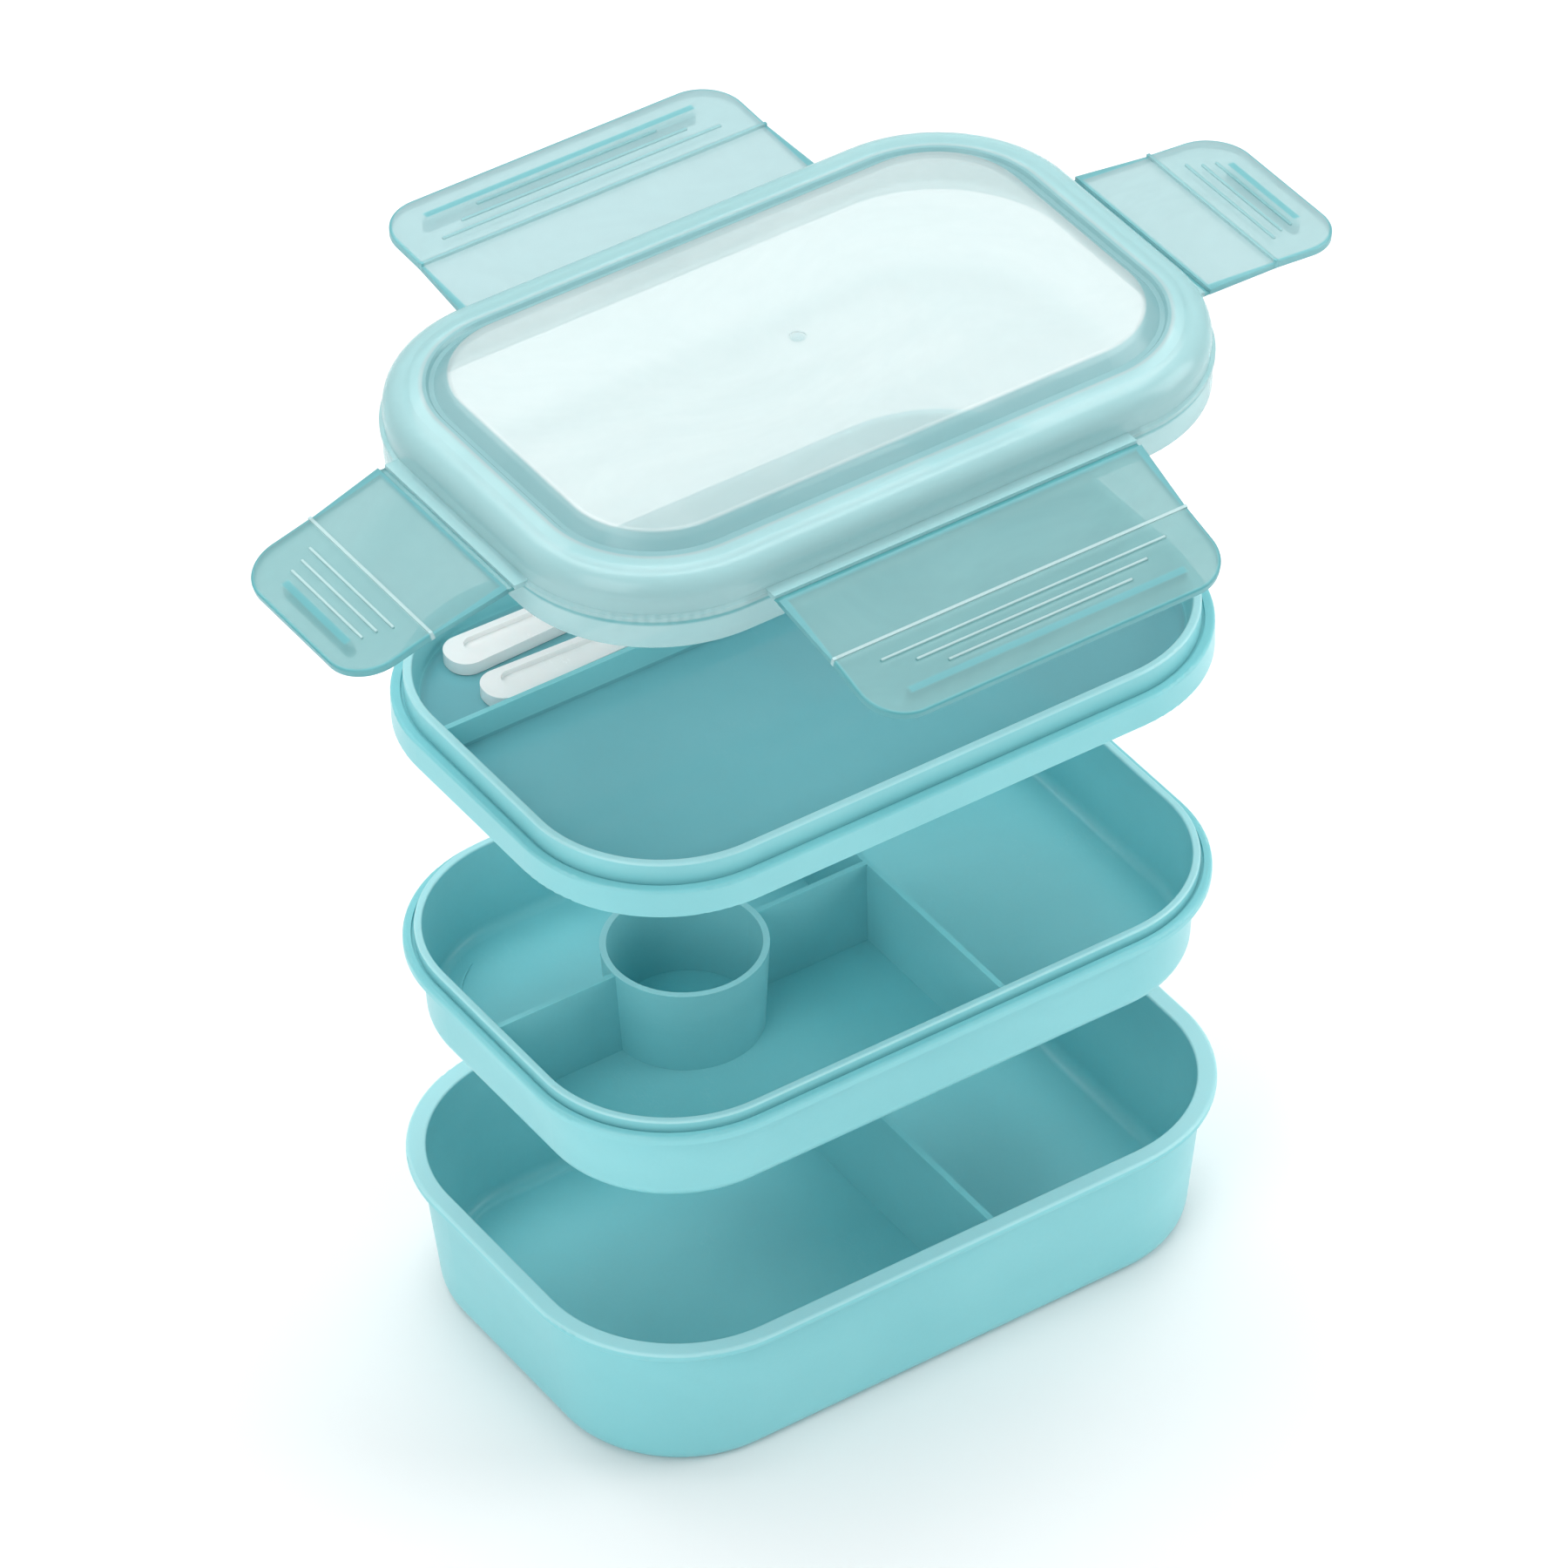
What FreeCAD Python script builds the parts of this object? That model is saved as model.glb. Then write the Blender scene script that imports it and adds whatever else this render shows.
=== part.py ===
import FreeCAD, Part

import math
import os

import Sketcher

# Stacking lunch box: a deep base, a middle tray, a shallow top tray and a lid
# with four clip-down latches, drawn with the layers lifted apart.
# Millimetres, +Z up, origin under the centre of the base.
# The long side runs along X and the front latch faces -Y.

SIZES = {
    # outline shared by all the layers, measured at the base's rim
    "half_length": 103.0,
    "half_width": 69.0,
    "corner_radius": 44.0,
    # base container
    "base_height": 45.0,
    "base_floor": 2.0,
    "base_rim_thickness": 2.4,
    "base_inset_top": 3.4,
    "base_inset_bottom": 8.0,
    "base_mouth_inset": 5.2,
    "base_floor_inset": 9.8,
    "base_floor_reach": 9.0,
    "base_bottom_round": 5.0,
    "base_inner_round": 4.0,
    "base_rim_round": 1.0,
    "base_rim_under_round": 0.8,
    "base_neck_round": 1.6,
    "base_mouth_round": 0.6,
    "divider_x": 18.5,
    "base_divider_thickness": 1.8,
    "base_divider_top": 35.7,
    "base_divider_knee": 6.0,
    "base_divider_foot": 1.0,
    "base_divider_half_top": 63.6,
    "base_divider_half_knee": 60.4,
    "base_divider_half_foot": 57.5,
    # middle tray, from its own underside
    "middle_height": 28.5,
    "middle_floor": 1.8,
    "middle_flange_under": 23.3,
    "middle_flange_top": 25.7,
    "middle_flange_inset": 1.9,
    "middle_inset_top": 6.2,
    "middle_inset_bottom": 7.6,
    "middle_lip_outer_inset": 5.0,
    "middle_lip_inner_inset": 7.0,
    "middle_floor_inset": 9.2,
    "middle_floor_reach": 8.5,
    "middle_bottom_round": 4.0,
    "middle_inner_round": 3.0,
    "middle_flange_round": 1.1,
    "middle_groove_inset": 4.1,
    "middle_groove_floor": 24.8,
    "middle_lip_round": 0.5,
    "wall_thickness": 1.6,
    "middle_wall_top": 27.5,
    "middle_wall_knee": 5.0,
    "middle_wall_foot": 1.0,
    "middle_wall_half_top": 62.6,
    "middle_wall_half_knee": 60.6,
    "middle_wall_half_foot": 59.0,
    "middle_wall_end_top": 96.6,
    "middle_wall_end_knee": 94.6,
    "middle_wall_end_foot": 93.0,
    "bead_inset": 15.5,
    "bead_width": 1.4,
    "bead_height": 0.7,
    # sauce cup moulded into the middle tray
    "cup_x": 38.5,
    "cup_top": 28.0,
    "cup_floor": 2.4,
    "cup_radius_top": 22.0,
    "cup_radius_bottom": 20.4,
    "cup_bore_top": 20.3,
    "cup_bore_bottom": 18.7,
    "cup_wall_reach_top": 21.1,
    "cup_wall_reach_foot": 19.6,
    # top tray, from the underside of its skirt
    "top_skirt_height": 8.3,
    "top_height": 14.3,
    "top_skirt_inset": 1.9,
    "top_skirt_inner_inset": 3.7,
    "top_plate_under": 6.5,
    "top_lip_outer_inset": 5.4,
    "top_lip_inner_inset": 7.6,
    "top_floor_inset": 9.4,
    "top_floor_top": 4.8,
    "top_floor_under": 3.0,
    "top_pan_inset": 7.8,
    "top_pan_reach": 8.6,
    "top_flange_round": 0.8,
    "top_skirt_round": 0.5,
    "top_groove_inset": 4.5,
    "top_groove_floor": 7.6,
    "top_lip_round": 0.6,
    "top_inner_round": 2.4,
    "top_divider_y": 20.8,
    "top_divider_top": 12.9,
    "top_divider_foot": 4.0,
    "top_divider_half_top": 96.0,
    "top_divider_half_foot": 94.2,
    # lid, from the underside of its skirt
    "lid_skirt_inset": 3.3,
    "lid_wall_inset": 3.5,
    "lid_bead_inset": 2.6,
    "lid_inner_inset": 4.9,
    "lid_bead_low": 8.0,
    "lid_bead_under": 8.5,
    "lid_bead_top": 9.7,
    "lid_bead_high": 10.3,
    "lid_shoulder": 20.3,
    "lid_shoulder_under": 18.7,
    "lid_shoulder_inset": 14.6,
    "lid_groove_inset": 15.3,
    "lid_groove_end_inset": 16.6,
    "lid_groove_floor": 19.5,
    "lid_slope_inset": 20.4,
    "lid_panel_inset": 23.0,
    "lid_panel_reach": 22.0,
    "lid_panel_top": 23.3,
    "lid_panel_under": 21.7,
    "lid_under_slope_inset": 21.2,
    "lid_under_groove_end_inset": 17.0,
    "lid_under_groove_inset": 14.2,
    "lid_under_groove": 17.9,
    "lid_rib_inner_inset": 10.5,
    "lid_rib_outer_inset": 9.0,
    "lid_rib_low": 6.8,
    "lid_shoulder_round": 6.5,
    "lid_inner_round": 3.9,
    "lid_slope_round": 1.6,
    "lid_skirt_round": 0.5,
    "gate_radius": 2.2,
    "gate_depth": 0.4,
    # silicone seal in the lid's channel
    "seal_low": 6.0,
    "seal_shoulder": 6.6,
    "seal_top": 9.2,
    "seal_nose_outer_inset": 5.9,
    "seal_nose_inner_inset": 7.9,
    "seal_notch_inset": 6.6,
    "seal_notch_end_inset": 7.3,
    "seal_notch": 8.4,
    # hinge lugs on the lid, hinge webs and latches
    "hinge_z": 9.0,
    "hinge_outset": 1.2,
    "hinge_half_web": 0.8,
    "lug_thickness": 1.4,
    "lug_root_inset": 4.4,
    "web_thickness": 0.4,
    "web_slack": 0.05,
    "long_lug_half": 54.0,
    "short_lug_half": 29.5,
    "flap_thickness": 1.5,
    "grip_thickness": 2.0,
    "flap_step": 23.0,
    "flap_overlap": 0.6,
    "flap_length": 46.0,
    "step_bead": 2.35,
    "step_bead_width": 0.9,
    "long_flap_root": 54.0,
    "long_flap_half": 52.6,
    "short_flap_root": 29.5,
    "short_flap_half": 28.0,
    "tip_round": 12.0,
    "edge_round": 0.5,
    "rib_height": 2.5,
    "rib_width": 0.9,
    "rib_round": 0.3,
    "rib_1_y": 28.2,
    "rib_2_y": 31.9,
    "rib_3_y": 35.6,
    "long_rib_1_half": 42.0,
    "long_rib_2_half": 34.0,
    "long_rib_3_half": 27.0,
    "short_rib_1_half": 19.0,
    "short_rib_2_half": 17.0,
    "short_rib_3_half": 16.0,
    "catch_width": 3.0,
    "catch_depth": 2.7,
    "catch_sink": 0.6,
    "catch_middle": 38.9,
    "long_catch_half": 40.0,
    "short_catch_half": 13.5,
    # cutlery
    "cutlery_thickness": 3.6,
    "cutlery_gap": 0.2,
    "channel_depth": 1.5,
    "channel_round": 3.0,
    "handle_round": 5.6,
    "neck_round": 7.0,
    "head_round": 2.6,
    "handle_far": 80.0,
    "handle_half": 6.3,
    "neck_start": 4.0,
    "neck_start_half": 3.8,
    "neck_end": 20.0,
    "neck_half": 3.0,
    "channel_far": 74.0,
    "channel_half_far": 3.9,
    "channel_near": 0.5,
    "channel_half_near": 2.1,
    "fork_shoulder": 28.0,
    "fork_shoulder_half": 7.0,
    "fork_cheek": 44.0,
    "fork_cheek_half": 7.8,
    "fork_tip": 66.0,
    "fork_tip_half": 6.9,
    "tine_root": 57.0,
    "tine_gap_half": 0.8,
    "tine_pitch": 3.85,
    "fork_dish_x": 42.0,
    "fork_dish_long": 13.0,
    "fork_dish_half": 5.8,
    "fork_dish_depth": 1.3,
    "spoon_shoulder": 26.0,
    "spoon_shoulder_half": 6.6,
    "spoon_side": 36.0,
    "spoon_side_half": 8.0,
    "spoon_front": 56.0,
    "spoon_front_half": 7.3,
    "spoon_tip": 66.0,
    "spoon_tip_half": 3.6,
    "spoon_round": 8.0,
    "bowl_x": 45.0,
    "bowl_long": 18.0,
    "bowl_half": 6.4,
    "bowl_depth": 2.5,
    "fork_x": 3.7,
    "fork_y": 49.4,
    "fork_turn": 0.3,
    "spoon_x": 4.0,
    "spoon_y": 31.0,
    "spoon_turn": -0.8,
    # height of each layer's underside when the layers are lifted apart
    "middle_lift": 91.9,
    "top_lift": 190.3,
    "lid_lift": 274.7,
}

# How far each open latch droops below level, in degrees.
DROOP = {"front": 15.0, "rear": -2.0, "left": 15.0, "right": 5.0}

doc = FreeCAD.newDocument("lunch_box")
sheet = doc.addObject("Spreadsheet::Sheet", "Sizes")
for row, (alias, size) in enumerate(SIZES.items(), start=1):
    sheet.set("A%d" % row, alias)
    sheet.set("B%d" % row, "%g" % size)
    sheet.setAlias("B%d" % row, alias)
doc.recompute()


def amount(text):
    """The number that a sum of size names stands for."""
    total = 0.0
    sign = 1.0
    for word in text.split():
        if word in "+-":
            sign = 1.0 if word == "+" else -1.0
        elif word[0].isalpha():
            total += sign * SIZES[word]
        else:
            total += sign * float(word)
    return total


def formula(text):
    """The same sum as an expression that reads the sheet."""
    words = ["Sizes." + w if w[0].isalpha() else w for w in text.split()]
    return " ".join(words)


def opposite(text):
    """The same sum with every sign changed."""
    swap = {"+": "-", "-": "+"}
    return "0 - " + " ".join(swap.get(word, word) for word in text.split())


def bind(thing, prop, text):
    thing.setExpression(prop, formula(text))


def new_body(label):
    body = doc.addObject("PartDesign::Body", label)
    body.Label = label
    return body


def plane_of(body, role):
    for feature in body.Origin.OriginFeatures:
        if feature.Role == role:
            return feature
    raise ValueError(role)


def new_sketch(body, name, role="XY_Plane", offset=None):
    sketch = body.newObject("Sketcher::SketchObject", name)
    sketch.AttachmentSupport = [(plane_of(body, role), "")]
    sketch.MapMode = "FlatFace"
    if offset:
        level = FreeCAD.Vector(0, 0, amount(offset))
        sketch.AttachmentOffset = FreeCAD.Placement(level, FreeCAD.Rotation())
        bind(sketch, "AttachmentOffset.Base.z", offset)
    return sketch


def pin(sketch, kind, first, second, text):
    """A distance from the sketch's origin, read from the sheet."""
    number = amount(text)
    if number < 0:
        text = opposite(text)
        where = (first, second, -1, 1)
    else:
        where = (-1, 1, first, second)
    index = sketch.addConstraint(Sketcher.Constraint(kind, *where, abs(number)))
    sketch.setExpression("Constraints[%d]" % index, formula(text))


def polygon(body, name, points, role="XY_Plane", offset=None):
    """A closed outline whose corners are sums of named sizes."""
    sketch = new_sketch(body, name, role, offset)
    spots = [FreeCAD.Vector(amount(x), amount(y), 0) for x, y in points]
    count = len(spots)
    for i in range(count):
        sketch.addGeometry(Part.LineSegment(spots[i], spots[(i + 1) % count]))
    for i in range(count):
        joined = Sketcher.Constraint("Coincident", i, 2, (i + 1) % count, 1)
        sketch.addConstraint(joined)
    for i, (x, y) in enumerate(points):
        if x == "0":
            sketch.addConstraint(Sketcher.Constraint("PointOnObject", i, 1, -2))
        else:
            pin(sketch, "DistanceX", i, 1, x)
        if y == "0":
            sketch.addConstraint(Sketcher.Constraint("PointOnObject", i, 1, -1))
        else:
            pin(sketch, "DistanceY", i, 1, y)
    return sketch


def rounded_rectangle(body, name, inset, offset=None):
    """The shared outline, drawn in by inset; its first line starts on the X axis."""
    sketch = new_sketch(body, name, "XY_Plane", offset)
    a = amount("half_length - " + inset)
    b = amount("half_width - " + inset)
    r = amount("corner_radius - " + inset)
    corners = [(a - r, b - r, 0), (r - a, b - r, 1), (r - a, r - b, 2), (a - r, r - b, 3)]
    ends = [
        ((a, 0), (a, b - r)),
        ((a - r, b), (r - a, b)),
        ((-a, b - r), (-a, r - b)),
        ((r - a, -b), (a - r, -b)),
        ((a, r - b), (a, 0)),
    ]
    for i in range(4):
        start, stop = ends[i]
        sketch.addGeometry(Part.LineSegment(FreeCAD.Vector(*start, 0), FreeCAD.Vector(*stop, 0)))
        x, y, quarter = corners[i]
        circle = Part.Circle(FreeCAD.Vector(x, y, 0), FreeCAD.Vector(0, 0, 1), r)
        turn = quarter * math.pi / 2
        sketch.addGeometry(Part.ArcOfCircle(circle, turn, turn + math.pi / 2))
    start, stop = ends[4]
    sketch.addGeometry(Part.LineSegment(FreeCAD.Vector(*start, 0), FreeCAD.Vector(*stop, 0)))
    for i in range(8):
        sketch.addConstraint(Sketcher.Constraint("Tangent", i, 2, i + 1, 1))
    sketch.addConstraint(Sketcher.Constraint("Coincident", 8, 2, 0, 1))
    for line in (0, 4, 8):
        sketch.addConstraint(Sketcher.Constraint("Vertical", line))
    for line in (2, 6):
        sketch.addConstraint(Sketcher.Constraint("Horizontal", line))
    for arc in (3, 5, 7):
        sketch.addConstraint(Sketcher.Constraint("Equal", 1, arc))
    index = sketch.addConstraint(Sketcher.Constraint("Radius", 1, r))
    sketch.setExpression("Constraints[%d]" % index, formula("corner_radius - " + inset))
    sketch.addConstraint(Sketcher.Constraint("PointOnObject", 0, 1, -1))
    pin(sketch, "DistanceX", 0, 1, "half_length - " + inset)
    pin(sketch, "DistanceY", 2, 1, "half_width - " + inset)
    pin(sketch, "DistanceX", 4, 1, "0 - half_length + " + inset)
    pin(sketch, "DistanceY", 6, 1, "0 - half_width + " + inset)
    return sketch


def slot(body, name, middle, half, half_width, offset):
    """A straight slot along X with round ends; middle is its height in Y."""
    sketch = new_sketch(body, name, "XY_Plane", offset)
    x = amount(half)
    y = amount(middle)
    r = amount(half_width) / 2
    up = FreeCAD.Vector(0, 0, 1)
    quarter = math.pi / 2
    sketch.addGeometry(Part.LineSegment(FreeCAD.Vector(-x, y - r, 0), FreeCAD.Vector(x, y - r, 0)))
    right = Part.Circle(FreeCAD.Vector(x, y, 0), up, r)
    sketch.addGeometry(Part.ArcOfCircle(right, -quarter, quarter))
    sketch.addGeometry(Part.LineSegment(FreeCAD.Vector(x, y + r, 0), FreeCAD.Vector(-x, y + r, 0)))
    left = Part.Circle(FreeCAD.Vector(-x, y, 0), up, r)
    sketch.addGeometry(Part.ArcOfCircle(left, quarter, 3 * quarter))
    for i in range(4):
        sketch.addConstraint(Sketcher.Constraint("Tangent", i, 2, (i + 1) % 4, 1))
    sketch.addConstraint(Sketcher.Constraint("Horizontal", 0))
    pin(sketch, "DistanceX", 1, 3, half)
    pin(sketch, "DistanceX", 3, 3, "0 - " + half)
    pin(sketch, "DistanceY", 1, 3, middle)
    index = sketch.addConstraint(Sketcher.Constraint("Radius", 1, r))
    sketch.setExpression("Constraints[%d]" % index, "Sizes.%s / 2" % half_width)
    return sketch


def pad(body, name, sketch, length, symmetric=False, down=False):
    feature = body.newObject("PartDesign::Pad", name)
    feature.Profile = sketch
    feature.Length = amount(length)
    bind(feature, "Length", length)
    if symmetric:
        feature.SideType = "Symmetric"
    feature.Reversed = down
    sketch.Visibility = False
    doc.recompute()
    return feature


def pocket(body, name, sketch, length):
    """Cuts downward from the sketch and refuses a cut that removes nothing."""
    before = body.Shape.Volume
    feature = body.newObject("PartDesign::Pocket", name)
    feature.Profile = sketch
    feature.Length = amount(length)
    bind(feature, "Length", length)
    sketch.Visibility = False
    doc.recompute()
    if body.Shape.Volume > before - 0.01:
        feature.Reversed = True
        doc.recompute()
    if body.Shape.Volume > before - 0.01:
        raise RuntimeError(name + " cuts nothing")
    return feature


def ring(body, name, points):
    """Sweeps a wall section, given as (inset, height), round the shared outline."""
    corners = [("half_length - " + inset, height) for inset, height in points]
    section = polygon(body, name + "_section", corners, "XZ_Plane")
    path = rounded_rectangle(body, name + "_path", "0")
    doc.recompute()
    feature = body.newObject("PartDesign::AdditivePipe", name)
    feature.Profile = section
    feature.Spine = (path, ["Edge%d" % i for i in range(1, 10)])
    section.Visibility = False
    path.Visibility = False
    doc.recompute()
    return feature


def inset_of(point):
    """How far inside the shared outline a point lies."""
    r = SIZES["corner_radius"]
    dx = abs(point.x) - (SIZES["half_length"] - r)
    dy = abs(point.y) - (SIZES["half_width"] - r)
    reach = math.hypot(dx, dy) if dx > 0 and dy > 0 else max(dx, dy)
    return r - reach


def samples(edge):
    low, high = edge.ParameterRange
    return [edge.valueAt(low + (high - low) * k / 4) for k in range(5)]


def round_edges(body, name, radius, wanted):
    """Fillets every edge of the body whose points all pass the test."""
    tip = body.Tip
    names = []
    for number, edge in enumerate(tip.Shape.Edges, start=1):
        if edge.Length > 0.01 and all(wanted(p) for p in samples(edge)):
            names.append("Edge%d" % number)
    if not names:
        raise RuntimeError(name + " found no edge")
    feature = body.newObject("PartDesign::Fillet", name)
    feature.Base = (tip, names)
    feature.Radius = amount(radius)
    bind(feature, "Radius", radius)
    doc.recompute()
    return feature


def round_ring(body, name, radius, inset, height):
    """Rounds the run of edges at one inset and height all the way round."""
    want_inset = amount(inset)
    want_height = amount(height)

    def on_run(p):
        return abs(p.z - want_height) < 0.02 and abs(inset_of(p) - want_inset) < 0.03

    return round_edges(body, name, radius, on_run)


def cross_wall(body, name, role, offset, corners, thickness):
    sketch = polygon(body, name + "_outline", corners, role, offset)
    return pad(body, name, sketch, thickness, symmetric=True)


# ---------------------------------------------------------------- base
base = new_body("base_container")
ring(base, "base_wall", [
    ("base_inset_bottom", "0"),
    ("base_inset_top", "base_height - base_rim_thickness"),
    ("0", "base_height - base_rim_thickness"),
    ("0", "base_height"),
    ("base_mouth_inset", "base_height"),
    ("base_floor_inset", "base_floor"),
    ("base_floor_inset", "0"),
])
base_floor = rounded_rectangle(base, "base_floor_outline", "base_floor_reach")
pad(base, "base_floor_plate", base_floor, "base_floor")
round_ring(base, "base_foot_fillet", "base_bottom_round", "base_inset_bottom", "0")
round_ring(base, "base_inside_fillet", "base_inner_round", "base_floor_inset", "base_floor")
round_ring(base, "base_rim_fillet", "base_rim_round", "0", "base_height")
rim_under = "base_height - base_rim_thickness"
round_ring(base, "base_rim_under_fillet", "base_rim_under_round", "0", rim_under)
round_ring(base, "base_neck_fillet", "base_neck_round", "base_inset_top", rim_under)
round_ring(base, "base_mouth_fillet", "base_mouth_round", "base_mouth_inset", "base_height")
cross_wall(base, "base_divider", "YZ_Plane", "divider_x", [
    ("0 - base_divider_half_foot", "base_divider_foot"),
    ("base_divider_half_foot", "base_divider_foot"),
    ("base_divider_half_knee", "base_divider_knee"),
    ("base_divider_half_top", "base_divider_top"),
    ("0 - base_divider_half_top", "base_divider_top"),
    ("0 - base_divider_half_knee", "base_divider_knee"),
], "base_divider_thickness")

# ---------------------------------------------------------------- middle tray
middle = new_body("middle_tray")
ring(middle, "middle_wall", [
    ("middle_inset_bottom", "0"),
    ("middle_inset_top", "middle_flange_under"),
    ("middle_flange_inset", "middle_flange_under"),
    ("middle_flange_inset", "middle_flange_top"),
    ("middle_groove_inset", "middle_flange_top"),
    ("middle_groove_inset", "middle_groove_floor"),
    ("middle_lip_outer_inset", "middle_groove_floor"),
    ("middle_lip_outer_inset", "middle_height"),
    ("middle_lip_inner_inset", "middle_height"),
    ("middle_floor_inset", "middle_floor"),
    ("middle_floor_inset", "0"),
])
middle_floor = rounded_rectangle(middle, "middle_floor_outline", "middle_floor_reach")
pad(middle, "middle_floor_plate", middle_floor, "middle_floor")
round_ring(middle, "middle_foot_fillet", "middle_bottom_round", "middle_inset_bottom", "0")
round_ring(middle, "middle_inside_fillet", "middle_inner_round", "middle_floor_inset", "middle_floor")
for name, size, inset, height in (
    ("middle_flange_fillet", "middle_flange_round", "middle_flange_inset", "middle_flange_top"),
    ("middle_lip_fillet", "middle_lip_round", "middle_lip_outer_inset", "middle_height"),
    ("middle_mouth_fillet", "middle_lip_round", "middle_lip_inner_inset", "middle_height"),
):
    round_ring(middle, name, size, inset, height)
bead_outer = rounded_rectangle(middle, "bead_outline", "bead_inset", "middle_floor")
pad(middle, "floor_bead_plate", bead_outer, "bead_height")
bead_top = "middle_floor + bead_height"
bead_inner = rounded_rectangle(middle, "bead_inner_outline", "bead_inset + bead_width", bead_top)
pocket(middle, "floor_bead_inside", bead_inner, "bead_height")
cross_wall(middle, "middle_cross_wall", "YZ_Plane", "divider_x", [
    ("0 - middle_wall_half_foot", "middle_wall_foot"),
    ("middle_wall_half_foot", "middle_wall_foot"),
    ("middle_wall_half_knee", "middle_wall_knee"),
    ("middle_wall_half_top", "middle_wall_top"),
    ("0 - middle_wall_half_top", "middle_wall_top"),
    ("0 - middle_wall_half_knee", "middle_wall_knee"),
], "wall_thickness")
cross_wall(middle, "middle_left_wall", "XZ_Plane", None, [
    ("0 - middle_wall_end_foot", "middle_wall_foot"),
    ("0 - cup_x - cup_wall_reach_foot", "middle_wall_foot"),
    ("0 - cup_x - cup_wall_reach_top", "middle_wall_top"),
    ("0 - middle_wall_end_top", "middle_wall_top"),
    ("0 - middle_wall_end_knee", "middle_wall_knee"),
], "wall_thickness")
cross_wall(middle, "middle_short_wall", "XZ_Plane", None, [
    ("0 - cup_x + cup_wall_reach_foot", "middle_wall_foot"),
    ("divider_x", "middle_wall_foot"),
    ("divider_x", "middle_wall_top"),
    ("0 - cup_x + cup_wall_reach_top", "middle_wall_top"),
], "wall_thickness")


def cup_cone(body, name, kind, low, high, radius_low, radius_high):
    """An upright cone on the sauce cup's axis, added to the tray or cut from it."""
    feature = body.newObject("PartDesign::" + kind + "Cone", name)
    feature.AttachmentSupport = [(plane_of(body, "XY_Plane"), "")]
    feature.MapMode = "FlatFace"
    bind(feature, "Radius1", radius_low)
    bind(feature, "Radius2", radius_high)
    bind(feature, "Height", high + " - " + low)
    spot = FreeCAD.Vector(amount("0 - cup_x"), 0, amount(low))
    feature.AttachmentOffset = FreeCAD.Placement(spot, FreeCAD.Rotation())
    bind(feature, "AttachmentOffset.Base.x", "0 - cup_x")
    bind(feature, "AttachmentOffset.Base.z", low)
    doc.recompute()
    return feature


for name, kind, low, radius_low, radius_high in (
    ("sauce_cup_wall", "Additive", "middle_wall_foot", "cup_radius_bottom", "cup_radius_top"),
    ("sauce_cup_bore", "Subtractive", "cup_floor", "cup_bore_bottom", "cup_bore_top"),
):
    cup_cone(middle, name, kind, low, "cup_top", radius_low, radius_high)

# ---------------------------------------------------------------- top tray
top = new_body("top_tray")
ring(top, "top_wall", [
    ("top_skirt_inset", "0"),
    ("top_skirt_inset", "top_skirt_height"),
    ("top_groove_inset", "top_skirt_height"),
    ("top_groove_inset", "top_groove_floor"),
    ("top_lip_outer_inset", "top_groove_floor"),
    ("top_lip_outer_inset", "top_height"),
    ("top_lip_inner_inset", "top_height"),
    ("top_floor_inset", "top_floor_top"),
    ("top_floor_inset", "top_floor_under"),
    ("top_pan_inset", "top_floor_under"),
    ("top_lip_inner_inset", "top_plate_under"),
    ("top_skirt_inner_inset", "top_plate_under"),
    ("top_skirt_inner_inset", "0"),
])
top_floor = rounded_rectangle(top, "top_floor_outline", "top_pan_reach", "top_floor_under")
pad(top, "top_floor_plate", top_floor, "top_floor_top - top_floor_under")
round_ring(top, "top_flange_fillet", "top_flange_round", "top_skirt_inset", "top_skirt_height")
round_ring(top, "top_skirt_fillet", "top_skirt_round", "top_skirt_inset", "0")
round_ring(top, "top_lip_fillet", "top_lip_round", "top_lip_outer_inset", "top_height")
round_ring(top, "top_mouth_fillet", "top_lip_round", "top_lip_inner_inset", "top_height")
round_ring(top, "top_inside_fillet", "top_inner_round", "top_floor_inset", "top_floor_top")
cross_wall(top, "top_divider", "XZ_Plane", "0 - top_divider_y", [
    ("0 - top_divider_half_foot", "top_divider_foot"),
    ("top_divider_half_foot", "top_divider_foot"),
    ("top_divider_half_top", "top_divider_top"),
    ("0 - top_divider_half_top", "top_divider_top"),
], "wall_thickness")

# ---------------------------------------------------------------- lid
lid = new_body("lid_shell")
ring(lid, "lid_wall", [
    ("lid_skirt_inset", "0"),
    ("lid_skirt_inset", "lid_bead_low"),
    ("lid_bead_inset", "lid_bead_under"),
    ("lid_bead_inset", "lid_bead_top"),
    ("lid_wall_inset", "lid_bead_high"),
    ("lid_wall_inset", "lid_shoulder"),
    ("lid_shoulder_inset", "lid_shoulder"),
    ("lid_groove_inset", "lid_groove_floor"),
    ("lid_groove_end_inset", "lid_groove_floor"),
    ("lid_slope_inset", "lid_panel_top"),
    ("lid_panel_inset", "lid_panel_top"),
    ("lid_panel_inset", "lid_panel_under"),
    ("lid_under_slope_inset", "lid_panel_under"),
    ("lid_under_groove_end_inset", "lid_under_groove"),
    ("lid_under_groove_inset", "lid_under_groove"),
    ("lid_rib_inner_inset", "lid_shoulder_under"),
    ("lid_rib_inner_inset", "lid_rib_low"),
    ("lid_rib_outer_inset", "lid_rib_low"),
    ("lid_rib_outer_inset", "lid_shoulder_under"),
    ("lid_inner_inset", "lid_shoulder_under"),
    ("lid_inner_inset", "0"),
])
lid_panel = rounded_rectangle(lid, "lid_panel_outline", "lid_panel_reach", "lid_panel_under")
pad(lid, "lid_panel_plate", lid_panel, "lid_panel_top - lid_panel_under")
round_ring(lid, "lid_shoulder_fillet", "lid_shoulder_round", "lid_wall_inset", "lid_shoulder")
round_ring(lid, "lid_slope_fillet", "lid_slope_round", "lid_slope_inset", "lid_panel_top")
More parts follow.
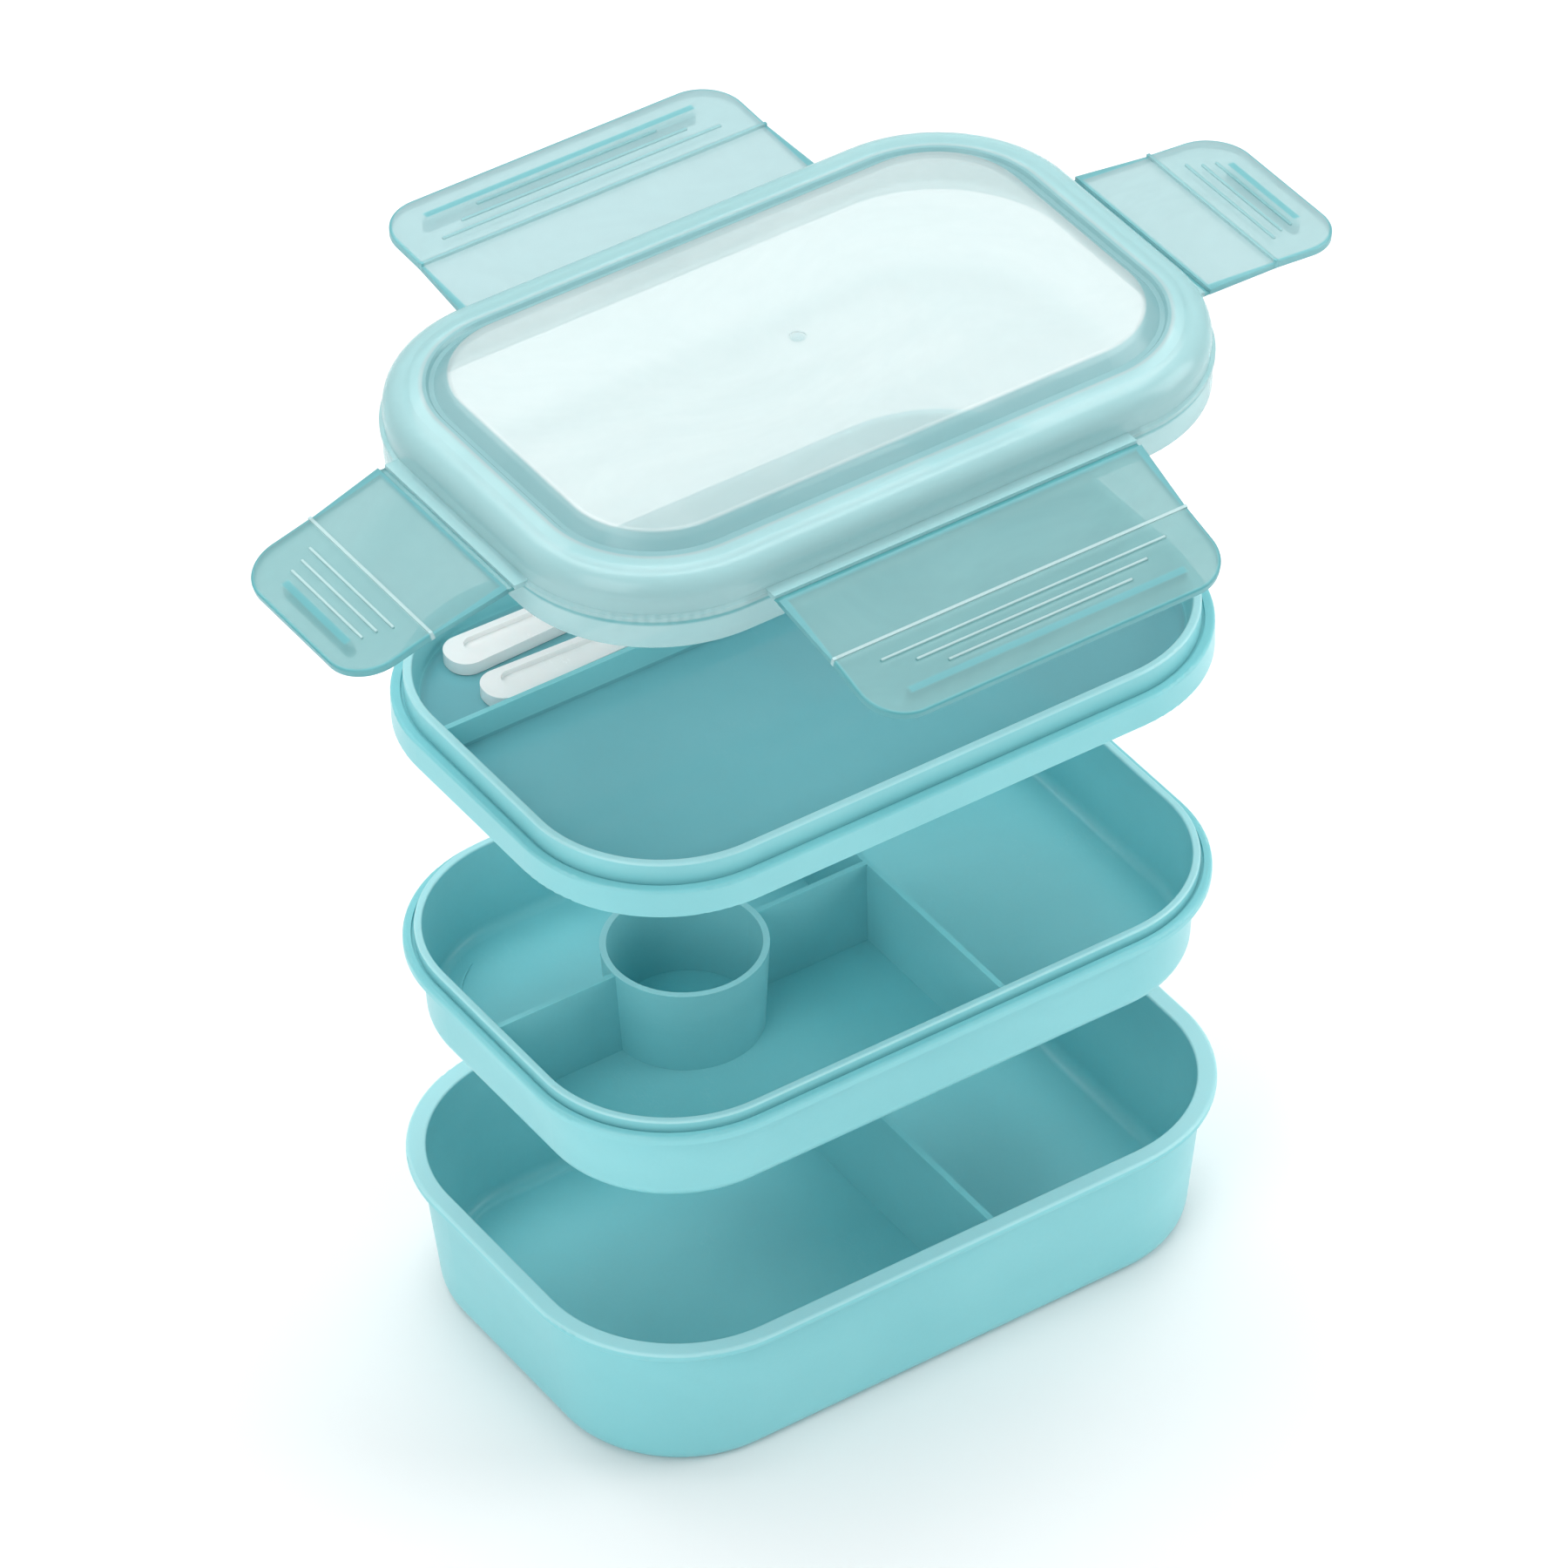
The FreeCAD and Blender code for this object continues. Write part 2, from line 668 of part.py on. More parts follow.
round_ring(lid, "lid_skirt_fillet", "lid_skirt_round", "lid_skirt_inset", "0")
round_ring(lid, "lid_inner_fillet", "lid_inner_round", "lid_inner_inset", "lid_shoulder_under")

gate = new_sketch(lid, "gate_outline", "XY_Plane", "lid_panel_top")
gate_radius = amount("gate_radius")
gate.addGeometry(Part.Circle(FreeCAD.Vector(0, 0, 0), FreeCAD.Vector(0, 0, 1), gate_radius))
gate.addConstraint(Sketcher.Constraint("Coincident", 0, 3, -1, 1))
gate_size = gate.addConstraint(Sketcher.Constraint("Radius", 0, gate_radius))
gate.setExpression("Constraints[%d]" % gate_size, formula("gate_radius"))
pocket(lid, "gate_dimple", gate, "gate_depth")


def lug(name, half, edge, along_x, side):
    """A flat strip that carries a latch's hinge web out from the lid's wall."""
    near = edge + " - lug_root_inset"
    far = edge + " + hinge_outset - hinge_half_web"
    if side < 0:
        near = opposite(near)
        far = opposite(far)
    low = "0 - " + half
    high = half
    if along_x:
        corners = [(low, near), (high, near), (high, far), (low, far)]
    else:
        corners = [(near, low), (far, low), (far, high), (near, high)]
    sketch = polygon(lid, name + "_outline", corners, "XY_Plane", "hinge_z")
    return pad(lid, name, sketch, "lug_thickness")


lug("front_lug", "long_lug_half", "half_width", True, -1)
lug("rear_lug", "long_lug_half", "half_width", True, 1)
lug("left_lug", "short_lug_half", "half_length", False, -1)
lug("right_lug", "short_lug_half", "half_length", False, 1)

seal = new_body("lid_seal")
ring(seal, "seal_section", [
    ("lid_inner_inset", "seal_shoulder"),
    ("lid_inner_inset", "seal_top"),
    ("seal_notch_inset", "seal_top"),
    ("seal_notch_inset", "seal_notch"),
    ("seal_notch_end_inset", "seal_notch"),
    ("seal_notch_end_inset", "seal_top"),
    ("lid_rib_outer_inset", "seal_top"),
    ("lid_rib_outer_inset", "seal_shoulder + seal_shoulder - seal_low"),
    ("seal_nose_inner_inset", "seal_low"),
    ("seal_nose_outer_inset", "seal_low"),
])

# ---------------------------------------------------------------- latches
SIDES = {
    "front": ("long", 180.0),
    "rear": ("long", 0.0),
    "left": ("short", 90.0),
    "right": ("short", -90.0),
}


def latch(side):
    span, turn = SIDES[side]
    root, half = span + "_flap_root", span + "_flap_half"
    body = new_body(side + "_latch")
    name = side + "_"
    inner = polygon(body, name + "inner_outline", [
        ("0 - " + root, "hinge_half_web"),
        (root, "hinge_half_web"),
        (half, "flap_step"),
        ("0 - " + half, "flap_step"),
    ])
    pad(body, name + "inner_flap", inner, "flap_thickness")
    grip = polygon(body, name + "grip_outline", [
        ("0 - " + half, "flap_step - flap_overlap"),
        (half, "flap_step - flap_overlap"),
        (half, "flap_length"),
        ("0 - " + half, "flap_length"),
    ])
    pad(body, name + "grip", grip, "grip_thickness")
    reach = amount("flap_length")
    edge = amount(half)

    def on_tip(p):
        return abs(p.y - reach) < 0.01 and abs(abs(p.x) - edge) < 0.01

    round_edges(body, name + "tip_fillet", "tip_round", on_tip)
    height = amount("grip_thickness")
    step = amount("flap_step - flap_overlap")

    def on_rim(p):
        outside = abs(p.x) > edge - amount("tip_round") - 0.01 or p.y > reach - 0.01
        return abs(p.z - height) < 0.01 and outside and p.y > step - 0.01 and not (
            abs(p.y - step) < 0.01 and abs(p.x) < edge - 0.01)

    round_edges(body, name + "edge_fillet", "edge_round", on_rim)
    bead = polygon(body, name + "step_outline", [
        ("0 - " + half, "flap_step - step_bead_width"),
        (half, "flap_step - step_bead_width"),
        (half, "flap_step"),
        ("0 - " + half, "flap_step"),
    ])
    pad(body, name + "step_bead", bead, "step_bead")
    for number in (1, 2, 3):
        rib = "%srib_%d" % (name, number)
        rib_y = "rib_%d_y" % number
        rib_half = "%s_rib_%d_half" % (span, number)
        outline = slot(body, rib + "_outline", rib_y, rib_half, "rib_width", None)
        pad(body, rib, outline, "rib_height")
    top_of_ribs = amount("rib_height")

    def on_rib_top(p):
        return abs(p.z - top_of_ribs) < 0.01

    round_edges(body, name + "rib_fillet", "rib_round", on_rib_top)
    catch_half = span + "_catch_half"
    catch = slot(body, name + "catch_outline", "catch_middle", catch_half, "catch_width", "catch_sink")
    pad(body, name + "catch", catch, "catch_depth + catch_sink", down=True)
    return body, turn


def web(side):
    """The thin strip that bends between the lid's lug and the latch."""
    span, turn = SIDES[side]
    root = span + "_flap_root"
    body = new_body(side + "_hinge_web")
    outline = polygon(body, side + "_web_outline", [
        ("0 - " + root, "0 - hinge_half_web"),
        (root, "0 - hinge_half_web"),
        (root, "hinge_half_web - web_slack"),
        ("0 - " + root, "hinge_half_web - web_slack"),
    ])
    pad(body, side + "_web", outline, "web_thickness")
    return body, turn


# ---------------------------------------------------------------- cutlery
def handle_channel(body, name):
    outline = polygon(body, name + "_channel_outline", [
        ("0 - channel_far", "0 - channel_half_far"),
        ("channel_near", "0 - channel_half_near"),
        ("channel_near", "channel_half_near"),
        ("0 - channel_far", "channel_half_far"),
    ], "XY_Plane", "cutlery_thickness")
    pocket(body, name + "_channel", outline, "channel_depth")
    far = amount("0 - channel_far")
    half = amount("channel_half_far")

    def on_channel_corner(p):
        return abs(p.x - far) < 0.01 and abs(abs(p.y) - half) < 0.01

    round_edges(body, name + "_channel_fillet", "channel_round", on_channel_corner)


def mirrored(points):
    """Adds the other half of an outline that is the same on both sides of X."""
    return [(x, "0 - " + y) for x, y in points] + [(x, y) for x, y in reversed(points)]


def round_corner(body, name, radius, x, half):
    want_x = amount(x)
    want_y = amount(half)

    def on_corner(p):
        return abs(p.x - want_x) < 0.01 and abs(abs(p.y) - want_y) < 0.01

    return round_edges(body, name, radius, on_corner)


def hollow(body, name, x, depth, along, across):
    """A shallow bowl sunk into a head's upper face."""
    bowl = body.newObject("PartDesign::SubtractiveEllipsoid", name)
    bowl.AttachmentSupport = [(plane_of(body, "XY_Plane"), "")]
    bowl.MapMode = "FlatFace"
    middle_point = FreeCAD.Vector(amount(x), 0, amount("cutlery_thickness"))
    bowl.AttachmentOffset = FreeCAD.Placement(middle_point, FreeCAD.Rotation())
    bind(bowl, "AttachmentOffset.Base.x", x)
    bind(bowl, "AttachmentOffset.Base.z", "cutlery_thickness")
    bind(bowl, "Radius1", depth)
    bind(bowl, "Radius2", along)
    bind(bowl, "Radius3", across)


fork = new_body("fork")
fork_outline = polygon(fork, "fork_outline", mirrored([
    ("0 - handle_far", "handle_half"),
    ("neck_start", "neck_start_half"),
    ("neck_end", "neck_half"),
    ("fork_shoulder", "fork_shoulder_half"),
    ("fork_cheek", "fork_cheek_half"),
    ("fork_tip", "fork_tip_half"),
]))
pad(fork, "fork_plate", fork_outline, "cutlery_thickness")
round_corner(fork, "fork_handle_fillet", "handle_round", "0 - handle_far", "handle_half")
round_corner(fork, "fork_neck_fillet", "neck_round", "neck_end", "neck_half")
round_corner(fork, "fork_shoulder_fillet", "neck_round", "fork_shoulder", "fork_shoulder_half")
round_corner(fork, "fork_tip_fillet", "head_round", "fork_tip", "fork_tip_half")
handle_channel(fork, "fork")
hollow(fork, "fork_dish", "fork_dish_x", "fork_dish_depth", "fork_dish_long", "fork_dish_half")
for number, shift in enumerate(("0 - tine_pitch", "0", "tine_pitch"), start=1):
    gap = polygon(fork, "tine_gap_outline_%d" % number, [
        ("tine_root", shift + " - tine_gap_half"),
        ("fork_tip + neck_half", shift + " - tine_gap_half"),
        ("fork_tip + neck_half", shift + " + tine_gap_half"),
        ("tine_root", shift + " + tine_gap_half"),
    ], "XY_Plane", "cutlery_thickness")
    pocket(fork, "tine_gap_%d" % number, gap, "cutlery_thickness")

spoon = new_body("spoon")
spoon_outline = polygon(spoon, "spoon_outline", mirrored([
    ("0 - handle_far", "handle_half"),
    ("neck_start", "neck_start_half"),
    ("neck_end", "neck_half"),
    ("spoon_shoulder", "spoon_shoulder_half"),
    ("spoon_side", "spoon_side_half"),
    ("spoon_front", "spoon_front_half"),
    ("spoon_tip", "spoon_tip_half"),
]))
pad(spoon, "spoon_plate", spoon_outline, "cutlery_thickness")
round_corner(spoon, "spoon_handle_fillet", "handle_round", "0 - handle_far", "handle_half")
round_corner(spoon, "spoon_side_fillet", "spoon_round", "spoon_side", "spoon_side_half")
round_corner(spoon, "spoon_front_fillet", "spoon_round", "spoon_front", "spoon_front_half")
handle_channel(spoon, "spoon")
hollow(spoon, "spoon_bowl", "bowl_x", "bowl_depth", "bowl_long", "bowl_half")
doc.recompute()

# ---------------------------------------------------------------- placing
LIFTED = (
    (middle, "middle_lift"),
    (top, "top_lift"),
    (lid, "lid_lift"),
    (seal, "lid_lift"),
)
for body, lift in LIFTED:
    body.Placement.Base = FreeCAD.Vector(0, 0, amount(lift))
    bind(body, "Placement.Base.z", lift)

Z_AXIS = FreeCAD.Vector(0, 0, 1)
X_AXIS = FreeCAD.Vector(1, 0, 0)
reach_x = amount("half_length + hinge_outset")
reach_y = amount("half_width + hinge_outset")
HINGES = {
    "front": FreeCAD.Vector(0, -reach_y, 0),
    "rear": FreeCAD.Vector(0, reach_y, 0),
    "left": FreeCAD.Vector(-reach_x, 0, 0),
    "right": FreeCAD.Vector(reach_x, 0, 0),
}
for side, spot in HINGES.items():
    level = FreeCAD.Vector(0, 0, amount("lid_lift + hinge_z"))
    flap, turn = latch(side)
    droop = FreeCAD.Rotation(X_AXIS, -DROOP[side])
    facing = FreeCAD.Rotation(Z_AXIS, turn)
    flap.Placement = FreeCAD.Placement(spot + level, facing.multiply(droop))
    strip, turn = web(side)
    strip.Placement = FreeCAD.Placement(spot + level, FreeCAD.Rotation(Z_AXIS, turn))

for body, name in ((fork, "fork"), (spoon, "spoon")):
    rest_z = amount("top_lift + top_floor_top + cutlery_gap")
    spot = FreeCAD.Vector(amount(name + "_x"), amount(name + "_y"), rest_z)
    body.Placement = FreeCAD.Placement(spot, FreeCAD.Rotation(Z_AXIS, SIZES[name + "_turn"]))

# ---------------------------------------------------------------- writing
doc.recompute()
for thing in doc.Objects:
    if "Invalid" in thing.State or "Error" in thing.State:
        raise RuntimeError("%s did not build: %s" % (thing.Name, thing.State))
os.makedirs("parts", exist_ok=True)
for thing in doc.Objects:
    if thing.TypeId != "PartDesign::Body":
        continue
    shape = thing.Shape
    if shape.isNull() or not shape.isValid() or len(shape.Solids) != 1:
        raise RuntimeError(thing.Label + " is not one sound solid")
    shape.exportStep("parts/%s.step" % thing.Label)
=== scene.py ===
import math

import bpy
from mathutils import Matrix, Vector


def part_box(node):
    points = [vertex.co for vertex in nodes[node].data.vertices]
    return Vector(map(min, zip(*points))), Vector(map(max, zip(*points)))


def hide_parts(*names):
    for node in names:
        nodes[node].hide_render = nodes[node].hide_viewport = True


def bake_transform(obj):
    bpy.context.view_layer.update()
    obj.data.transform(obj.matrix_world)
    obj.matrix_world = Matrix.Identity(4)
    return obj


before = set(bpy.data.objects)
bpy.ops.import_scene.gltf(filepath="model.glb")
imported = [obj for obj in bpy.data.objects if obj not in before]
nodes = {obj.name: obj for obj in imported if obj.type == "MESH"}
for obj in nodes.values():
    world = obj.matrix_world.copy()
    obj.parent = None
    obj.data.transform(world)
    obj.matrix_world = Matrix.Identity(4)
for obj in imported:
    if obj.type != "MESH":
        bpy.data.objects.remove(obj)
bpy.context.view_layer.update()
scene = bpy.context.scene

# Half sizes and corner radius of the outline that all the layers share, in metres.
HALF_LENGTH, HALF_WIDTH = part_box("base_container")[1][:2]
CORNER = 0.044
LID_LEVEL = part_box("lid_shell")[0][2]
TRAY_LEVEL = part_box("top_tray")[0][2]
TRAY_FLOOR = TRAY_LEVEL + 0.0050
GATE_RADIUS = 0.0022

# The latches: each one's heading and droop at rest in degrees, then sizes in metres from the
# hinge axis. The sizes that differ are given for the long latches and the short ones.
HINGE_TURNS = {
    "front": (180.0, 15.0),
    "rear": (0.0, -2.0),
    "left": (90.0, 15.0),
    "right": (-90.0, 5.0),
}
LONG_SIDES = ("front", "rear")
HINGE_OUT = 0.0012
HINGE_UP = 0.009
FLAP_LENGTH = 0.046
TIP_ROUND = 0.012
WEB_WAIST = 0.00006
RIB_MIDDLES = (0.0282, 0.0319, 0.0356)
LONG_LATCH = {"half": 0.0526, "catch_half": 0.0415, "rib_halves": (0.042, 0.034, 0.027)}
SHORT_LATCH = {"half": 0.0280, "catch_half": 0.0150, "rib_halves": (0.019, 0.017, 0.016)}


# ---------------------------------------------------------------- materials

def new_material(name):
    """An empty node material with its Principled shader, output and object coordinates."""
    material = bpy.data.materials.new(name)
    material.use_nodes = True
    tree = material.node_tree
    tree.nodes.clear()
    shader = tree.nodes.new("ShaderNodeBsdfPrincipled")
    output = tree.nodes.new("ShaderNodeOutputMaterial")
    tree.links.new(shader.outputs["BSDF"], output.inputs["Surface"])
    place = tree.nodes.new("ShaderNodeTexCoord")
    return material, tree, shader, place.outputs["Object"]


def noise(tree, place, scale, detail=4.0, rough=0.5, distortion=0.0):
    node = tree.nodes.new("ShaderNodeTexNoise")
    node.inputs["Scale"].default_value = scale
    node.inputs["Detail"].default_value = detail
    node.inputs["Roughness"].default_value = rough
    node.inputs["Distortion"].default_value = distortion
    tree.links.new(place, node.inputs["Vector"])
    return node.outputs["Fac"]


def remap(tree, value, low, high, to_low, to_high):
    node = tree.nodes.new("ShaderNodeMapRange")
    node.inputs["From Min"].default_value = low
    node.inputs["From Max"].default_value = high
    node.inputs["To Min"].default_value = to_low
    node.inputs["To Max"].default_value = to_high
    tree.links.new(value, node.inputs["Value"])
    return node.outputs["Result"]


def math_node(tree, operation, first, second):
    node = tree.nodes.new("ShaderNodeMath")
    node.operation = operation
    for socket, value in zip(node.inputs, (first, second)):
        if isinstance(value, (int, float)):
            socket.default_value = value
        else:
            tree.links.new(value, socket)
    return node.outputs["Value"]


def mix(tree, factor, first, second):
    node = tree.nodes.new("ShaderNodeMix")
    node.data_type = "RGBA"
    tree.links.new(factor, node.inputs["Factor"])
    for socket, value in ((node.inputs["A"], first), (node.inputs["B"], second)):
        if isinstance(value, tuple):
            socket.default_value = (*value, 1.0)
        else:
            tree.links.new(value, socket)
    return node.outputs["Result"]


def stretched(tree, place, scale):
    """Coordinates stretched along the axes, for scratches that run one way."""
    node = tree.nodes.new("ShaderNodeMapping")
    node.inputs["Scale"].default_value = scale
    tree.links.new(place, node.inputs["Vector"])
    return node.outputs["Vector"]


def scratches(tree, place, scale, sharp):
    """Thin scattered lines, from 0 to 1."""
    field = noise(tree, stretched(tree, place, scale), 1.0, 5.0, 0.62, 0.35)
    distance = math_node(tree, "ABSOLUTE", math_node(tree, "SUBTRACT", field, 0.5), 0.0)
    return remap(tree, distance, 0.0, sharp, 1.0, 0.0)


def bump(tree, shader, height, strength, distance):
    node = tree.nodes.new("ShaderNodeBump")
    node.inputs["Strength"].default_value = strength
    node.inputs["Distance"].default_value = distance
    tree.links.new(height, node.inputs["Height"])
    tree.links.new(node.outputs["Normal"], shader.inputs["Normal"])


def plastic(name, light, dark, rough_low, rough_high, grain, scatter=0.0):
    """Moulded polypropylene: slight flow marks, satin grain, faint handling scratches."""
    material, tree, shader, place = new_material(name)
    flow = noise(tree, stretched(tree, place, (14.0, 14.0, 26.0)), 1.0, 3.0, 0.5, 0.6)
    speck = noise(tree, place, 900.0, 2.0)
    tint = math_node(tree, "ADD", flow, math_node(tree, "MULTIPLY", speck, 0.12))
    shade = remap(tree, tint, 0.38, 0.74, 0.0, 1.0)
    colour = mix(tree, shade, dark, light)
    lines = scratches(tree, place, (60.0, 22.0, 150.0), 0.006)
    used = remap(tree, noise(tree, place, 30.0, 2.0), 0.52, 0.66, 0.0, 1.0)
    marks = math_node(tree, "MULTIPLY", lines, used)
    pale = tuple(min(1.0, channel * 0.6 + 0.4) for channel in light)
    worn = mix(tree, math_node(tree, "MULTIPLY", marks, 0.10), colour, pale)
    tree.links.new(worn, shader.inputs["Base Color"])
    cloudy = noise(tree, place, 45.0, 5.0, 0.6)
    rough = remap(tree, cloudy, 0.3, 0.7, rough_low, rough_high)
    scuffed = math_node(tree, "ADD", rough, math_node(tree, "MULTIPLY", marks, 0.12))
    tree.links.new(scuffed, shader.inputs["Roughness"])
    fine = noise(tree, place, 1600.0, 2.0)
    bump(tree, shader, math_node(tree, "MULTIPLY", fine, grain), 0.05, 0.00003)
    shader.inputs["IOR"].default_value = 1.49
    if scatter:
        shader.inputs["Subsurface Weight"].default_value = scatter
        shader.inputs["Subsurface Radius"].default_value = (0.6, 1.0, 1.1)
        shader.inputs["Subsurface Scale"].default_value = 0.0012
    return material


def axes(tree, place):
    """The three numbers of a point."""
    apart = tree.nodes.new("ShaderNodeSeparateXYZ")
    tree.links.new(place, apart.inputs["Vector"])
    return [apart.outputs[axis] for axis in "XYZ"]


def inset(tree, radius, *legs):
    """How far inside a rounded corner a point lies; a leg is a size and where its curve starts."""
    squares = []
    for size, start in legs:
        past = math_node(tree, "MAXIMUM", math_node(tree, "SUBTRACT", size, start), 0.0)
        squares.append(math_node(tree, "MULTIPLY", past, past))
    reach = math_node(tree, "SQRT", math_node(tree, "ADD", *squares), 0.0)
    return math_node(tree, "SUBTRACT", radius, reach)


def outline_inset(tree, place):
    """How far inside the shared rounded outline a point lies, in metres."""
    size_x, size_y = [math_node(tree, "ABSOLUTE", axis, 0.0) for axis in axes(tree, place)[:2]]
    return inset(tree, CORNER, (size_x, HALF_LENGTH - CORNER), (size_y, HALF_WIDTH - CORNER))


def band(tree, value, low, high, soft):
    """One where a value lies between low and high, with edges this soft."""
    rise = remap(tree, value, low - soft, low + soft, 0.0, 1.0)
    fall = remap(tree, value, high - soft, high + soft, 1.0, 0.0)
    return math_node(tree, "MULTIPLY", rise, fall)


def parts_of(material):
    """The tree, shader and object coordinates of a material made here."""
    tree = material.node_tree
    shader = next(n for n in tree.nodes if n.type == "BSDF_PRINCIPLED")
    place = next(n for n in tree.nodes if n.type == "TEX_COORD").outputs["Object"]
    return tree, shader, place


def source(socket):
    """What feeds a shader socket."""
    return socket.links[0].from_socket


def raise_input(tree, shader, name, factor, amount):
    """Adds an amount to one of the shader's inputs, as far as the factor says."""
    extra = math_node(tree, "MULTIPLY", factor, amount)
    total = math_node(tree, "ADD", source(shader.inputs[name]), extra)
    tree.links.new(total, shader.inputs[name])


def frosted(name, light, dark, roughness, body, clear, density, tone):
    """Translucent polypropylene: frosted, milky in places, deeper where it is thicker."""
    material, tree, shader, place = new_material(name)
    cloud = noise(tree, stretched(tree, place, (16.0, 22.0, 40.0)), 1.0, 4.0, 0.55, 0.8)
    shade = remap(tree, cloud, 0.35, 0.68, 0.0, 1.0)
    tree.links.new(mix(tree, shade, dark, light), shader.inputs["Base Color"])
    tree.links.new(remap(tree, cloud, 0.35, 0.68, *body), shader.inputs["Alpha"])
    patchy = noise(tree, place, 60.0, 5.0, 0.6)
    tree.links.new(remap(tree, patchy, 0.3, 0.7, *roughness), shader.inputs["Roughness"])
    bump(tree, shader, noise(tree, place, 1400.0, 2.0), 0.04, 0.00002)
    shader.inputs["IOR"].default_value = 1.46
    shader.inputs["Transmission Weight"].default_value = clear
    soak = tree.nodes.new("ShaderNodeVolumeAbsorption")
    soak.inputs["Color"].default_value = (*tone, 1.0)
    soak.inputs["Density"].default_value = density
    output = next(n for n in tree.nodes if n.type == "OUTPUT_MATERIAL")
    tree.links.new(soak.outputs["Volume"], output.inputs["Volume"])
    return material


def shade_lid(material, shell, ring, line):
    """The lid's shell is deeper than its panel, and deepest in the groove and under the bead."""
    tree, shader, place = parts_of(material)
    x, y, height = axes(tree, place)
    depth = outline_inset(tree, place)
    outer = remap(tree, depth, 0.0124, 0.0138, 1.0, 0.0)
    groove = band(tree, depth, 0.0136, 0.0201, 0.0003)
    seam = band(tree, height, LID_LEVEL + 0.0070, LID_LEVEL + 0.0086, 0.0003)
    seam = math_node(tree, "MULTIPLY", seam, outer)
    size_x = math_node(tree, "ABSOLUTE", x, 0.0)
    size_y = math_node(tree, "ABSOLUTE", y, 0.0)
    from_gate = inset(tree, GATE_RADIUS, (size_x, 0.0), (size_y, 0.0))
    gate = remap(tree, from_gate, -0.0004, 0.0008, 0.0, 0.6)
    colour = mix(tree, outer, source(shader.inputs["Base Color"]), shell)
    colour = mix(tree, groove, colour, ring)
    colour = mix(tree, gate, colour, ring)
    colour = mix(tree, math_node(tree, "MULTIPLY", seam, 0.8), colour, line)
    tree.links.new(colour, shader.inputs["Base Color"])
    raise_input(tree, shader, "Alpha", outer, 0.16)
    raise_input(tree, shader, "Alpha", groove, 0.28)


def shade_flap(material, side, thick, line):
    """Shades a latch by its thickness: a deeper catch bar, rim and root; the lines at the step and ribs
    take the given line colour, which is a painted highlight on the front and left latches.
    """
    tree, shader, place = parts_of(material)
    turn, droop = HINGE_TURNS[side]
    long = side in LONG_SIDES
    sizes = LONG_LATCH if long else SHORT_LATCH
    local = tree.nodes.new("ShaderNodeMapping")
    local.vector_type = "TEXTURE"
    reach = (HALF_WIDTH if long else HALF_LENGTH) + HINGE_OUT
    facing = math.radians(turn)
    where = (-math.sin(facing) * reach, math.cos(facing) * reach, LID_LEVEL + HINGE_UP)
    local.inputs["Location"].default_value = where
    local.inputs["Rotation"].default_value = (-math.radians(droop), 0.0, facing)
    tree.links.new(place, local.inputs["Vector"])
    along, out = axes(tree, local.outputs["Vector"])[:2]
    sideways = math_node(tree, "ABSOLUTE", along, 0.0)
    edge = inset(tree, TIP_ROUND, (sideways, sizes["half"] - TIP_ROUND), (out, FLAP_LENGTH - TIP_ROUND))
    rim = remap(tree, edge, 0.0005, 0.0011, 1.0, 0.0)
    root = remap(tree, out, 0.0012, 0.0022, 1.0, 0.0)
    bar = band(tree, out, 0.0379, 0.0399, 0.0003)
    bar_end = sizes["catch_half"]
    bar = math_node(tree, "MULTIPLY", bar, remap(tree, sideways, bar_end - 0.001, bar_end, 1.0, 0.0))
    lines = band(tree, out, 0.0221, 0.0231, 0.0002)
    for middle, rib_half in zip(RIB_MIDDLES, sizes["rib_halves"]):
        across = band(tree, out, middle - 0.0004, middle + 0.0004, 0.0002)
        within = remap(tree, sideways, rib_half, rib_half + 0.0004, 1.0, 0.0)
        lines = math_node(tree, "MAXIMUM", lines, math_node(tree, "MULTIPLY", across, within))
    deep = math_node(tree, "MAXIMUM", math_node(tree, "MAXIMUM", rim, root), bar)
    colour = source(shader.inputs["Base Color"])
    colour = mix(tree, math_node(tree, "MULTIPLY", deep, 0.9), colour, thick)
    # the step and rib lines take the line colour, a painted highlight on the front and left latches
    colour = mix(tree, math_node(tree, "MULTIPLY", lines, 0.6), colour, line)
    tree.links.new(colour, shader.inputs["Base Color"])
    raise_input(tree, shader, "Alpha", deep, 0.26)
    raise_input(tree, shader, "Alpha", lines, 0.15)


def paint_rim_highlights(material, levels):
    """Painted highlight: the topmost strip of each rim or lip is painted paler, standing in for the
    light that catches it.
    """
    tree, shader, place = parts_of(material)
    height = axes(tree, place)[2]
    colour = source(shader.inputs["Base Color"])
    for top in levels:
        strip = band(tree, height, top - 0.0006, top + 0.0010, 0.0002)
        # painted highlight along the top of the rim or lip
        colour = mix(tree, math_node(tree, "MULTIPLY", strip, 0.40), colour, (0.66, 0.92, 0.94))
    tree.links.new(colour, shader.inputs["Base Color"])


def polish_and_shade_floor(material, middle):
    """The top tray's floor is polished, so it mirrors what stands on it, and its colour is painted
    deeper as painted shade from the lid above.
    """
    tree, shader, place = parts_of(material)
    height = axes(tree, place)[2]
    inside = remap(tree, outline_inset(tree, place), 0.0090, 0.0100, 0.0, 1.0)
    level = band(tree, height, middle - 0.0008, middle + 0.0008, 0.0002)
    polished = math_node(tree, "MULTIPLY", level, inside)
    raise_input(tree, shader, "Roughness", polished, -0.22)
    # painted shade: the polished floor's colour is darkened towards deep teal
    deep = math_node(tree, "MULTIPLY", polished, 0.6)
    colour = mix(tree, deep, source(shader.inputs["Base Color"]), (0.135, 0.370, 0.425))
    tree.links.new(colour, shader.inputs["Base Color"])


PAINTED_LINE_HIGHLIGHT = (0.78, 0.90, 0.90)
TEAL_LINE = (0.16, 0.46, 0.49)
